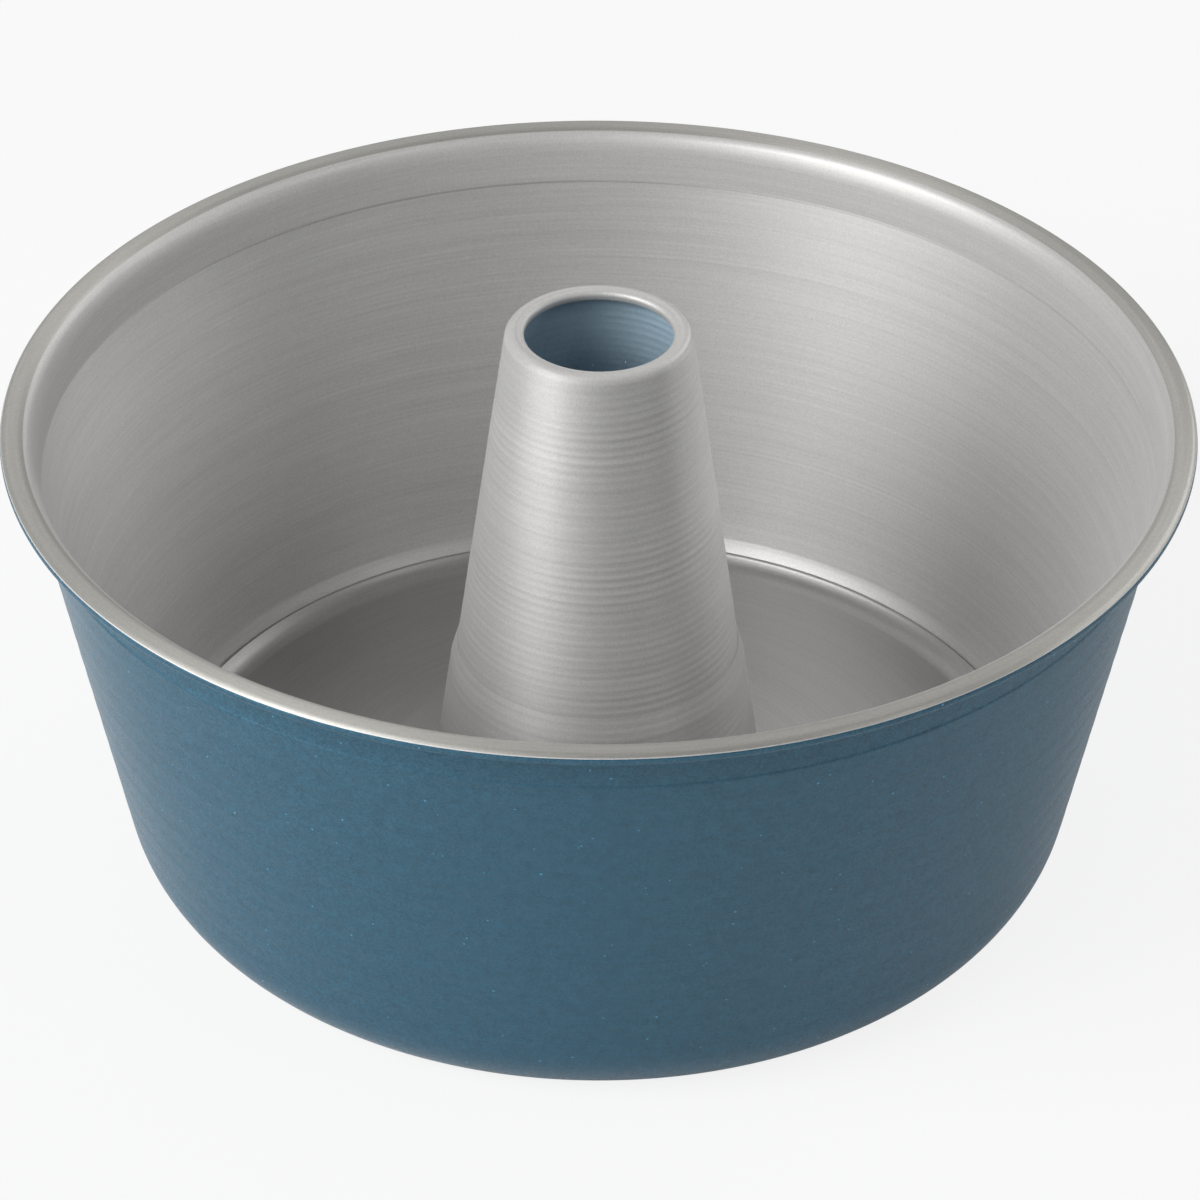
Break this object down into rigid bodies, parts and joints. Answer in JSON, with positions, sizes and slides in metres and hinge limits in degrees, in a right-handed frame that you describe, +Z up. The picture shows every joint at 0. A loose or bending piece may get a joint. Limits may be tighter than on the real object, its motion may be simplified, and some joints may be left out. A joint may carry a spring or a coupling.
{
  "type": "angel food cake pan",
  "caption": "Two-piece angel food cake pan: tapered round shell with a rolled rim, and a lift-out floor with a tall tapered centre tube that stands above the rim.",
  "frame": {"origin": "on the axis of the pan, in the plane of the shell's base that it stands on", "axes": "+Z up along the axis of the centre tube; the pan is round, so +X and +Y are any two level directions at a right angle"},
  "size_m": [0.26, 0.26, 0.128],
  "materials": {
    "blue_coat": "metallic blue coat outside with fine flake, satin; the inside is satin silver",
    "silver_coat": "satin silver, spun, with fine turning lines"
  },
  "bodies": {
    "root": {"outer_shell": "blue_coat"},
    "insert": {"floor_plate": "silver_coat", "centre_tube": "silver_coat"}
  },
  "joints": [
    {"name": "insert_lift", "type": "slide", "parent": "root", "child": "insert", "axis": [0, 0, 1], "range_m": [0, 0.115]}
  ]
}
